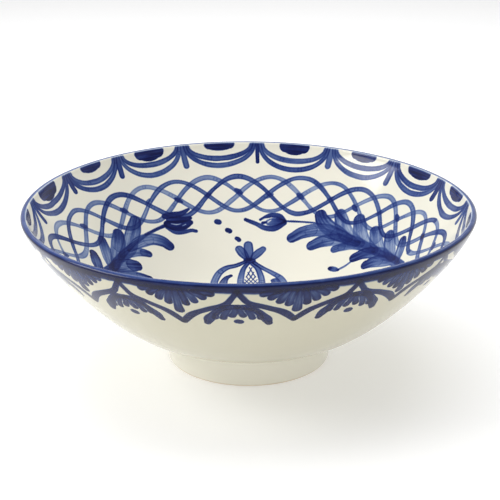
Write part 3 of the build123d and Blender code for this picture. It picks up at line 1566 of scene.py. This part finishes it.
@dataclass
class FloatingBuds:
    """The two buds on thin stalks beside the fruit's crown, and the three dots that lead to it."""

    brush: Brush
    cell: float
    spots: tuple[Point, ...] = ((-26.4, 120.2), (-17.2, 115.6), (-9.2, 110.2))

    def left_bud(self) -> list[BrushStroke]:
        """A dark bud that leans to the right, with light lines scratched into it.

        Returns:
            The strokes, in the order of painting.
        """
        plan = self.brush.plan
        heart = [(-68.5, 105.4), (-63, 106.8), (-56.5, 109.8), (-49.5, 114.2)]
        middle = [(-68, 109), (-61.5, 111.6), (-55, 114.4), (-50, 117.2)]
        upper = [(-71.5, 110), (-65, 113.8), (-58, 117.4), (-51.5, 122.8)]
        lower = [(-69, 103), (-62, 102.8), (-55, 105.6), (-48.8, 108.8), (-44.6, 109.4)]
        return [plan(heart, (2.8, 3.9, 3.7, 1.8), (1.7,), edge=0.25),
                plan(middle, (1.8, 2.4, 2.2, 1.3), (1.6,), edge=0.2),
                plan(upper, (1.8, 2.2, 1.8, 0.8), (1.7, 1.5), edge=0.2),
                plan(lower, (1.2, 1.6, 1.6, 1.2, 1.1), (1.2, 1.2, 1.5), edge=0.2),
                plan([(-65.5, 107.2), (-61, 108.6), (-57.5, 110.6)], (0.4, 0.55, 0.3), WIPED),
                plan([(-56, 109.6), (-53.5, 111.6)], (0.35, 0.45), WIPED),
                plan([(-70, 104), (-78, 97), (-86, 88)], (1.3, 0.9, 0.9), (1.0, 1.1), edge=0.2)]

    def right_bud(self) -> list[BrushStroke]:
        """A bud with a curling tail, drawn round a light patch and a small dark seed.

        Returns:
            The strokes, in the order of painting.
        """
        plan = self.brush.plan
        upper = [(31.5, 119.8), (26.5, 124), (18.5, 125.6), (10, 123.6)]
        tail = [(30.5, 118.8), (22.5, 116.6), (14, 117.6), (6, 121), (-2.8, 123.8)]
        stalk = [(31, 119.9), (42, 117), (54, 112.6), (62, 108.5)]
        return [plan([(30, 119.8), (24, 120.4), (18, 121.2)], (1.6, 3.0, 2.6), (1.7, 1.2, 0.8), edge=0.2),
                plan(upper, (0.9, 1.8, 1.6, 0.9), (1.6, 1.3, 1.4), edge=0.3),
                plan(tail, (1.6, 2.1, 1.9, 1.4, 1.2), (1.6, 1.3, 1.0, 1.6), edge=0.3),
                plan([(10.4, 121.8), (13.4, 123.2), (17, 123.4)], (0.6, 0.95, 0.6), WIPED),
                plan([(16.5, 121.2), (19, 122.4)], (0.5, 0.4), WIPED),
                plan([(12.0, 121.0), (14.6, 121.2)], (1.0, 0.8), (1.5,), edge=0.1),
                plan(stalk, (0.6, 0.65, 0.6), (1.2, 1.0), edge=0.2)]

    def dots(self) -> list[BrushStroke]:
        """Three flattened dots in a row.

        Returns:
            The strokes, in the order of painting.
        """
        made = []
        for k, (x, y) in enumerate(self.spots):
            line = [(x - 0.9, y + 0.1 * k), (x, y), (x + 0.9, y - 0.4 * k)]
            made.append(self.brush.plan(line, (1.9 - 0.15 * k,), (1.7,), edge=0.1))
        return made

    def motifs(self) -> list[Motif]:
        """Buds and dots.

        Returns:
            The motifs, in the order of painting.
        """
        face = self.brush.face
        around_left = Patch.square(face, (-90, 84), (-41, 124), self.cell)
        around_right = Patch.square(face, (-6, 106), (66, 130), self.cell)
        around_dots = Patch.square(face, (-31, 106), (-5, 124), self.cell)
        return [Motif("left_bud", self.left_bud(), around_left, 2),
                Motif("right_bud", self.right_bud(), around_right, 2),
                Motif("floor_dots", self.dots(), around_dots)]


@dataclass(frozen=True)
class Leaf:
    """One brushed leaf, from where it leaves the stem to its tip."""

    path: tuple[Point, ...]
    half_width: float
    tone: float = 1.0

    def widths(self) -> Values:
        """Half widths along the leaf: thin at the stem, full past the middle, rounded at the tip."""
        w = self.half_width
        return (0.5 * w, 0.8 * w, w, w, 0.98 * w, 0.78 * w)

    def tones(self) -> Values:
        """Pigment along the leaf: it pools at the tip, where the brush is lifted."""
        return (0.8 * self.tone, 0.56 * self.tone, 0.6 * self.tone, 1.25 * self.tone)


@dataclass
class LeafSpray:
    """A curved stem with broad leaves on both sides. It can be mirrored to the near side of the bowl."""

    name: str
    brush: Brush
    cell: float
    stem: tuple[Point, ...]
    leaves: tuple[Leaf, ...]
    stem_widths: Values = (2.6, 2.4, 1.8, 1.3, 0.9, 0.6)
    stem_tones: Values = (1.0, 0.6, 0.25, 0.2, 0.35)
    mirrored: bool = False

    def turned(self, points: tuple[Point, ...]) -> list[Point]:
        """The points, mirrored front to back if the spray is."""
        return [(x, -y if self.mirrored else y) for x, y in points]

    def strokes(self) -> list[BrushStroke]:
        """The leaves and the stem over them.

        Returns:
            The strokes, in the order of painting.
        """
        made = []
        for leaf in self.leaves:
            path = self.turned(leaf.path)
            made.append(self.brush.plan(path, leaf.widths(), leaf.tones(), edge=0.4, streaks=0.5))
        path = self.turned(self.stem)
        made.append(self.brush.plan(path, self.stem_widths, self.stem_tones, edge=0.2, streaks=0.4))
        return made

    def motifs(self) -> list[Motif]:
        """The spray.

        Returns:
            The motifs, in the order of painting.
        """
        paths = [self.turned(self.stem)] + [self.turned(leaf.path) for leaf in self.leaves]
        points = np.array([p for path in paths for p in path])
        margin = max(leaf.half_width for leaf in self.leaves) + 3
        low, high = points.min(0) - margin, points.max(0) + margin
        return [Motif(self.name, self.strokes(), Patch.square(self.brush.face, low, high, self.cell), 1)]


LEFT_STEM = ((-113, 22), (-109, 34), (-105, 48), (-101, 60), (-96, 71), (-89, 83), (-79, 95.5), (-70, 104))
LEFT_STEM_WIDTHS = (3.2, 3.2, 2.4, 1.4, 1.0, 0.9)
LEFT_STEM_TONES = (1.4, 1.3, 1.0, 0.8, 1.0)
LEFT_LEAVES = (
    Leaf(((-98, 66), (-89.5, 79.5), (-80.5, 87.6), (-72, 90.4), (-66.5, 89.8)), 4.5, 1.05),
    Leaf(((-103, 54), (-97, 62.5), (-91, 69), (-86.5, 72), (-82.5, 73.6)), 3.3, 1.0),
    Leaf(((-109, 34), (-103, 43.5), (-97, 50.5), (-91, 55.6)), 5.3, 1.2),
    Leaf(((-108, 33), (-98, 41.5), (-88, 47.5), (-80, 51)), 2.6, 1.4),
    Leaf(((-103, 52), (-98.6, 65), (-96.6, 78), (-95.2, 88), (-94.4, 93)), 5.6, 0.95),
    Leaf(((-107, 38), (-106, 50), (-106.2, 60), (-106.2, 67), (-106.6, 72)), 5.6, 1.05),
    Leaf(((-109, 33), (-113, 43), (-116, 50), (-118, 54.5)), 4.5, 0.95),
    Leaf(((-117.5, 18), (-119.5, 25), (-121.5, 30.5), (-122.6, 32.5)), 4.6, 1.6),
)
RIGHT_STEM = ((120, 22), (116.5, 33), (111.5, 45), (105, 57), (97, 69), (87, 81.5), (75, 94.5), (61, 107.5))
RIGHT_LEAVES = (
    Leaf(((90, 78), (80, 89.5), (69.5, 99.5), (58, 106), (46, 108.3), (37, 107)), 4.9, 1.0),
    Leaf(((101, 62), (92, 75.5), (82, 85.5), (71.5, 92.4), (61, 95.8), (53, 96)), 4.8, 0.8),
    Leaf(((109, 49), (102, 62), (94.5, 72), (86, 79.5), (78, 83), (71.5, 84.6)), 3.6, 0.7),
    Leaf(((115, 37), (109.5, 48.5), (102.5, 58.5), (94.5, 65), (86.5, 67.4)), 4.5, 1.1),
    Leaf(((117.5, 28), (114, 36.5), (108, 44), (101, 50.5), (95, 53.3)), 4.8, 1.15),
    Leaf(((73.5, 64.5), (70, 67.4), (67, 69.8)), 1.9, 1.3),
    Leaf(((84, 86), (73, 97.5), (66.5, 105), (62.5, 111.5), (61.2, 115.5)), 5.3, 1.0),
    Leaf(((93, 75), (84, 87), (80, 96), (78.4, 103.5), (77.4, 108.5)), 5.5, 0.7),
    Leaf(((103, 60), (95.5, 73), (92.8, 83), (92.6, 90.5), (92.4, 96)), 5.4, 0.7),
    Leaf(((110.5, 48), (105.5, 59), (104.4, 68), (104.4, 74), (103.8, 78)), 5.0, 0.7),
    Leaf(((114.5, 38), (113.5, 48), (114.2, 56), (114.6, 64.5)), 4.8, 0.75),
    Leaf(((117, 30), (120, 38), (122.5, 44.5), (123.6, 48.5)), 3.5, 1.05),
)
THREAD = ((84, 65.6), (79, 64.6), (73.5, 64.6))


@dataclass
class Garland:
    """The border outside the rim: ogee brackets, a fan over each low point, a frond under each peak."""

    brush: Brush
    cell: float
    repeats: int = 13
    first_joint: float = -2.5
    front: float = -90.0
    lows: Values = (34, 32, 31.5, 33, 35, 34, 33, 35, 36, 34, 35, 37, 38)
    bracket: tuple[Point, ...] = ((0, 2.0), (0.09, 8.0), (0.2, 13.0), (0.5, 18.0), (0.78, 24.0), (1, 33.0))
    bracket_widths: Values = (1.4, 1.7, 1.8, 1.9, 2.3, 1.9)
    bracket_tones: Values = (1.7, 1.5, 1.55, 1.8)
    drawn_low: float = 33.0  # the low point that the bracket and the frond are drawn for
    petals: Values = (-8.0, -6.2, -4.2, -2.1, 2.1, 4.2, 6.2, 8.0, 0.0)
    petal_tones: Values = (1.3, 1.6, 1.25)
    arch: tuple[Point, ...] = ((0, 14), (3.0, 15.5), (5.2, 21), (6.8, 28), (7.7, 34.6))
    arch_widths: Values = (1.8, 2.3, 2.0, 2.1, 2.9, 1.8)
    leaflets: tuple[Point, ...] = ((0.8, 26.0), (3.0, 29.0), (5.0, 29.0))

    def angle(self, share: float) -> float:
        """Degrees round the bowl of a place counted in repeats from the joint nearest the front."""
        return self.front + self.first_joint + share * 360 / self.repeats

    def low(self, k: int) -> float:
        """How far down the low point after joint k reaches."""
        return self.lows[k % self.repeats]

    def drop(self, k: int) -> float:
        """How far the frond under joint k hangs below its drawn place."""
        return (self.low(k) + self.low(k - 1)) / 2 - self.drawn_low

    def brackets(self) -> list[BrushStroke]:
        """Two ogee strokes out of each joint, one to each low point beside it.

        Returns:
            The strokes, in the order of painting.
        """
        made = []
        for k in range(self.repeats):
            for way in (-1, 1):
                low = self.low(k if way > 0 else k - 1)
                points = [(self.angle(k + way * 0.5 * share), down * low / self.drawn_low)
                          for share, down in self.bracket]
                made.append(self.brush.polar(points, self.bracket_widths, self.bracket_tones, edge=0.2))
        return made

    def fans(self) -> list[BrushStroke]:
        """Overlapping petals that hang from the band over each low point.

        Returns:
            The strokes, in the order of painting.
        """
        made = []
        for k in range(self.repeats):
            middle = self.angle(k + 0.5)
            deep = 23 + 3.5 * (self.low(k) - 31) / 7
            for number, spot in enumerate(self.petals):
                share = abs(spot) / 8
                reach = deep if spot == 0 else 7 + 13 * (1 - share**1.3)
                wide = 2.7 if spot == 0 else 2.2
                root = middle + spot * 0.55
                points = [(root, 3), (middle + spot * 0.85, reach * 0.55), (middle + spot, reach - wide)]
                tone = self.petal_tones[(number + k) % 3]
                tones = (tone, tone * 0.75, tone * 1.1)
                made.append(self.brush.polar(points, (1.5, 2.1, wide), tones, edge=0.45, streaks=0.35))
        return made

    def fronds(self) -> list[BrushStroke]:
        """Under each joint, an arched leaf with a fat drop at each end and small leaflets inside.

        Returns:
            The strokes, in the order of painting.
        """
        made = []
        for k in range(self.repeats):
            at, drop = self.angle(k), self.drop(k)
            for way in (-1, 1):
                arch = [(at + way * spot, down + drop) for spot, down in self.arch]
                made.append(self.brush.polar(arch, self.arch_widths, (1.6, 1.4, 1.3, 1.8), edge=0.2))
                for spot, reach in self.leaflets:
                    leaf = [(at + way * spot * 0.6, 16 + drop), (at + way * spot, (16 + reach) / 2 + drop),
                            (at + way * (spot + 0.5), reach - 1.6 + drop)]
                    made.append(self.brush.polar(leaf, (1.3, 1.7, 1.9), (1.3, 1.2, 1.6), edge=0.3))
        return made

    def dots(self) -> list[BrushStroke]:
        """A dot under each frond.

        Returns:
            The strokes, in the order of painting.
        """
        made = []
        for k in range(self.repeats):
            at, down = self.angle(k) + 0.2, 31.5 + self.drop(k)
            line = [(at - 0.25, down), (at + 0.25, down + 0.4)]
            made.append(self.brush.polar(line, (2.1,), (1.5,), edge=0.1))
        return made

    def motifs(self) -> list[Motif]:
        """The garland's four motifs.

        Returns:
            The motifs, in the order of painting.
        """
        face = self.brush.face
        return [Motif("garland_fronds", self.fronds(), Patch.ring(face, 10, 46, self.cell)),
                Motif("garland_fans", self.fans(), Patch.ring(face, 0.5, 32, self.cell), 1),
                Motif("garland_brackets", self.brackets(), Patch.ring(face, 0.5, 44, self.cell), 2),
                Motif("garland_dots", self.dots(), Patch.ring(face, 26, 42, self.cell))]


# --- The bowl and the studio ---------------------------------------------------------------------


@dataclass
class ClayAndGlaze:
    """The fired clay, the luting slip and the plain glazes, turned from the bowl's section."""

    section: BowlSection
    cream: bpy.types.Material
    clay: bpy.types.Material
    slip: bpy.types.Material
    # the coats that take the painted shade of the outside faces; the foot's and recess's glaze stay lighter
    painted_shade_coats: tuple[str, ...] = ("outer_glaze",)
    inner_samples: int = 240
    outer_samples: int = 201

    def shell(self) -> np.ndarray:
        """Closed section of the clay shell, one coat inside its glazes.

        Returns:
            The points, as (radius, height), one row each.
        """
        s, d = self.section, self.section.glaze
        base = [(0, s.recess_height), (s.spigot_radius, s.recess_height),
                (s.spigot_radius, s.belly_height + d), (s.belly_radius, s.belly_height + d)]
        outside = bezier(s.outer_wall(d), 90)
        lip = bezier(s.lip(d)[0], 9)
        inside = s.inside_line(d)[:-1]
        return np.vstack([base, outside[1:], lip[1:], inside[1:], [(0, s.floor_height - d)]])

    def foot(self) -> np.ndarray:
        """Closed section of the foot ring.

        Returns:
            The points, as (radius, height), one row each.
        """
        s = self.section
        outer, inner = (s.foot_low_radius, s.foot_edge), (s.foot_inner_radius, s.foot_edge)
        out_round = s.quadratic((s.contact[1], 0), (s.foot_low_radius, 0), outer, 7)
        in_round = s.quadratic(inner, (s.foot_inner_radius, 0), (s.contact[0], 0), 7)
        top = [(s.foot_top_radius, s.foot_top_height), (s.foot_inner_radius, s.foot_top_height)]
        return np.vstack([out_round, top, in_round])

    def seam(self) -> np.ndarray:
        """Closed section of the luting slip between foot and floor.

        Returns:
            The points, as (radius, height), one row each.
        """
        s, d = self.section, self.section.glaze
        spigot = [(s.spigot_radius, s.belly_height + d), (s.spigot_radius, s.recess_height)]
        foot_top = [(s.foot_inner_radius, s.foot_top_height), (s.foot_top_radius, s.foot_top_height)]
        return np.vstack([s.outer_crease(d), spigot, s.inner_crease(d)[::-1], foot_top])

    def inner_coat(self) -> np.ndarray:
        """Closed section of the glaze inside, up to the cobalt band.

        Returns:
            The points, as (radius, height), one row each.
        """
        s = self.section
        faces = []
        for depth in (s.glaze, 0):
            wall = bezier(s.inner_wall(depth), self.inner_samples)
            last = int(round(s.band_inner_start * (self.inner_samples - 1)))
            wall = wall[:last + 1:2]
            faces.append(np.vstack([bezier(s.floor_top(depth), 40)[:-1], wall]))
        return np.vstack([faces[0], faces[1][::-1]])

    def outer_coat(self) -> np.ndarray:
        """Closed section of the glaze outside, from the crease up to the cobalt band.

        Returns:
            The points, as (radius, height), one row each.
        """
        s = self.section
        faces = []
        for depth in (0, s.glaze):
            wall = bezier(s.outer_wall(depth), self.outer_samples)
            last = int(round(s.band_outer_start * (self.outer_samples - 1)))
            faces.append(np.vstack([s.outer_crease(depth)[-1:], wall[:last + 1]]))
        return np.vstack([faces[0], faces[1][::-1]])

    def foot_coat(self) -> np.ndarray:
        """Closed section of the glaze on the foot's outside, from its bare edge through the crease.

        Returns:
            The points, as (radius, height), one row each.
        """
        s = self.section
        faces = []
        for depth in (0, s.glaze):
            crease = s.outer_crease(depth)
            wall = [s.foot_wall(h, depth) for h in np.linspace(s.foot_edge, crease[0, 1], 12)[:-1]]
            faces.append(np.vstack([wall, crease]))
        return np.vstack([faces[0], faces[1][::-1]])

    def recess_coat(self) -> np.ndarray:
        """Closed section of the glaze in the recess, from its bare edge to the axis.

        Returns:
            The points, as (radius, height), one row each.
        """
        s = self.section
        faces = []
        for depth in (0, s.glaze):
            crease = s.inner_crease(depth)
            wall = [(crease[0, 0], h) for h in np.linspace(s.foot_edge, crease[0, 1], 9)[:-1]]
            ceiling = [(r, crease[-1, 1]) for r in np.linspace(crease[-1, 0], 0, 12)[1:]]
            faces.append(np.vstack([wall, crease, ceiling]))
        return np.vstack([faces[1], faces[0][::-1]])

    def make(self) -> None:
        """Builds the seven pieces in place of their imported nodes."""
        plan = [("bowl_body", self.shell(), self.clay, Slot.CLAY),
                ("foot_ring", self.foot(), self.clay, Slot.CLAY),
                ("luting_seam", self.seam(), self.slip, Slot.SLIP),
                ("inner_glaze", self.inner_coat(), self.cream, Slot.CREAM),
                ("outer_glaze", self.outer_coat(), self.cream, Slot.CREAM),
                ("foot_glaze", self.foot_coat(), self.cream, Slot.CREAM),
                ("recess_glaze", self.recess_coat(), self.cream, Slot.CREAM)]
        for name, section, material, slot in plan:
            TurnedPiece(name, section, outside=name in self.painted_shade_coats).make(material, slot)


@dataclass
class RimBand:
    """The glaze over the lip, stained all round by the cobalt band and by what is painted up to it."""

    section: BowlSection
    outside: Painting
    inside: Painting
    material: bpy.types.Material
    segments: int = 1400
    samples: int = 1000
    outer_rows: int = 17
    inner_rows: int = 5
    lip_rows: int = 9

    def make(self) -> bpy.types.Object:
        """Builds the coat and stains it point by point.

        Returns:
            The new piece.
        """
        s = self.section
        faces = []
        for depth in (0, s.glaze):
            outer = bezier(s.outer_wall(depth), self.samples + 1)[int(s.band_outer_start * self.samples):]
            inner = bezier(s.inner_wall(depth), self.samples + 1)[int(s.band_inner_start * self.samples):]
            inner = inner[::-1]
            outer = outer[np.linspace(0, len(outer) - 1, self.outer_rows).astype(int)]
            inner = inner[np.linspace(0, len(inner) - 1, self.inner_rows).astype(int)]
            over = [bezier(curve, self.lip_rows) for curve in s.lip(depth)]
            faces.append(np.vstack([outer, over[0][1:], over[1][1:], inner[1:]]))
        section = np.vstack([faces[0], faces[1][::-1]])
        turned = TurnedPiece("rim_band", section, self.segments)
        piece = turned.make(self.material, Slot.COBALT)
        along = arc_length(faces[0])
        shoulder = along[self.outer_rows - 1]
        top = along[self.outer_rows + self.lip_rows - 2]
        wash = []
        for way in np.concatenate([along, along[::-1]]):
            theta = turned.angles()
            if way <= shoulder:
                wash.append(self.outside.pigment(theta, np.full(len(theta), shoulder - way)))
            elif way >= top:
                wash.append(self.inside.pigment(theta, np.full(len(theta), way - top)))
            else:
                wash.append(self.outside.band.pigment(theta, np.full(len(theta), shoulder - way)))
        add_number(piece, "wash", np.concatenate(wash))
        # the outside attribute, and with it the painted shade, fades out over the lip
        share = 1 - smooth_step(np.concatenate([along, along[::-1]]), shoulder, top)
        piece.data.attributes.remove(piece.data.attributes["outside"])
        add_number(piece, "outside", np.repeat(share, self.segments))
        return piece


@dataclass
class Studio:
    """A pale paper floor, soft light and the camera. The floor's size and the lamps are in metres."""

    target: float = 60.0
    camera_place: Place = (1.1, -931.0, 432.0)
    camera_tip: float = 20.44
    lens: float = 93.6
    floor_size: float = 60.0
    sky: Point = (0.9, 0.38)
    sky_heights: Point = (0.12, 0.5)
    lamps: tuple[tuple[str, Place, Point, float, bool], ...] = (
        ("overhead", (0.0, 0.25, 1.5), (1.6, 1.2), 14.5, False),
        ("left_window", (-1.02, -0.16, 0.80), (0.7, 0.45), 7.0, True),
        ("right_window", (1.5, 0.0, 0.85), (0.8, 1.3), 1.5, False),
        ("front_fill", (-0.6, -1.7, 0.35), (1.6, 0.6), 1.2, False),
        ("back_strip", (0.0, 1.5, 1.05), (1.8, 0.35), 4.0, True),
    )

    def add_floor(self) -> None:
        """A flat sheet of paper under the bowl."""
        half = self.floor_size / 2
        mesh = bpy.data.meshes.new("studio_floor")
        corners = [(-half, -half, 0), (half, -half, 0), (half, half, 0), (-half, half, 0)]
        mesh.from_pydata(corners, [], [(0, 1, 2, 3)])
        mesh.materials.append(StudioPaper().make())
        floor = bpy.data.objects.new("studio_floor", mesh)
        bpy.context.scene.collection.objects.link(floor)

    def add_lamps(self) -> None:
        """Large soft lamps that look at the bowl."""
        for name, place, (wide, high), power, mirrored in self.lamps:
            data = bpy.data.lights.new(name, "AREA")
            data.shape = "RECTANGLE"
            data.size, data.size_y = wide, high
            data.energy = power
            lamp = bpy.data.objects.new(name, data)
            lamp.location = place
            lamp.visible_glossy = mirrored
            aim = Vector((0, 0, self.target * MM)) - lamp.location
            lamp.rotation_euler = aim.to_track_quat("-Z", "Y").to_euler()
            bpy.context.scene.collection.objects.link(lamp)

    def add_sky(self) -> None:
        """A white surround, brightest at the horizon."""
        world = bpy.data.worlds.new("studio_white")
        world.use_nodes = True
        tree = world.node_tree
        background = tree.nodes["Background"]
        background.inputs["Color"].default_value = (1, 1, 1, 1)
        where = tree.nodes.new("ShaderNodeTexCoord")
        split = tree.nodes.new("ShaderNodeSeparateXYZ")
        fade = tree.nodes.new("ShaderNodeMapRange")
        for name, value in zip(SPAN_INPUTS, self.sky_heights + self.sky):
            fade.inputs[name].default_value = value
        tree.links.new(where.outputs["Generated"], split.inputs["Vector"])
        tree.links.new(split.outputs["Z"], fade.inputs["Value"])
        tree.links.new(fade.outputs["Result"], background.inputs["Strength"])
        bpy.context.scene.world = world

    def add_camera(self) -> None:
        """The camera, a little above the rim and level."""
        data = bpy.data.cameras.new("camera")
        data.lens = self.lens
        data.sensor_width = 36.0
        camera = bpy.data.objects.new("camera", data)
        camera.location = [c * MM for c in self.camera_place]
        camera.rotation_euler = (math.radians(90 - self.camera_tip), 0, 0)
        bpy.context.scene.collection.objects.link(camera)
        bpy.context.scene.camera = camera

    def make(self) -> None:
        """Sets everything up."""
        self.add_floor()
        self.add_lamps()
        self.add_sky()
        self.add_camera()
        bpy.context.scene.view_settings.view_transform = "Standard"


def inside_motifs(brush: Brush, cell: float) -> list[Motif]:
    """Everything painted inside the bowl, in the order of painting.

    Args:
        brush: the brush that paints it.
        cell: the grid's spacing.

    Returns:
        The motifs, in the order of painting.
    """
    thread = Motif("leaf_thread", [brush.plan(THREAD, (0.7,), (0.8,), edge=0.0)],
                   Patch.square(brush.face, (70, 61), (88, 69), cell), 2)
    plan_cell = cell * 0.9
    left = (LEFT_STEM, LEFT_LEAVES, LEFT_STEM_WIDTHS, LEFT_STEM_TONES)
    right = (RIGHT_STEM, RIGHT_LEAVES)
    groups = [
        RimBorder(brush, cell),
        PlaitBorder(brush, cell),
        LeafSpray("left_spray", brush, plan_cell, *left),
        LeafSpray("right_spray", brush, plan_cell, *right),
        LeafSpray("near_left_spray", brush, plan_cell, *left, mirrored=True),
        LeafSpray("near_right_spray", brush, plan_cell, *right, mirrored=True),
        Pomegranate(brush, plan_cell),
        FloatingBuds(brush, plan_cell),
    ]
    return [motif for group in groups for motif in group.motifs()] + [thread]


def main() -> None:
    """Builds the bowl, its painting and the studio."""
    logging.basicConfig(level=logging.INFO, format="%(message)s")
    cell = 0.55
    section = BowlSection.from_frame()
    glaze = CreamGlaze()
    cream, cobalt = glaze.make(), CobaltBrushwork(glaze).make()
    ClayAndGlaze(section, cream, BareClay().make(), FiredSlip().make()).make()
    band = RimWash()
    inside = Painting(GlazedFace(BowlFace.INSIDE, section), band, cobalt)
    outside = Painting(GlazedFace(BowlFace.OUTSIDE, section), band, cobalt)
    inside.motifs = inside_motifs(Brush(inside.face, seed=100), cell)
    outside.motifs = Garland(Brush(outside.face, seed=900), cell).motifs()
    inside.make()
    outside.make()
    RimBand(section, outside, inside, cobalt).make()
    Studio().make()


if __name__ == "__main__":
    main()
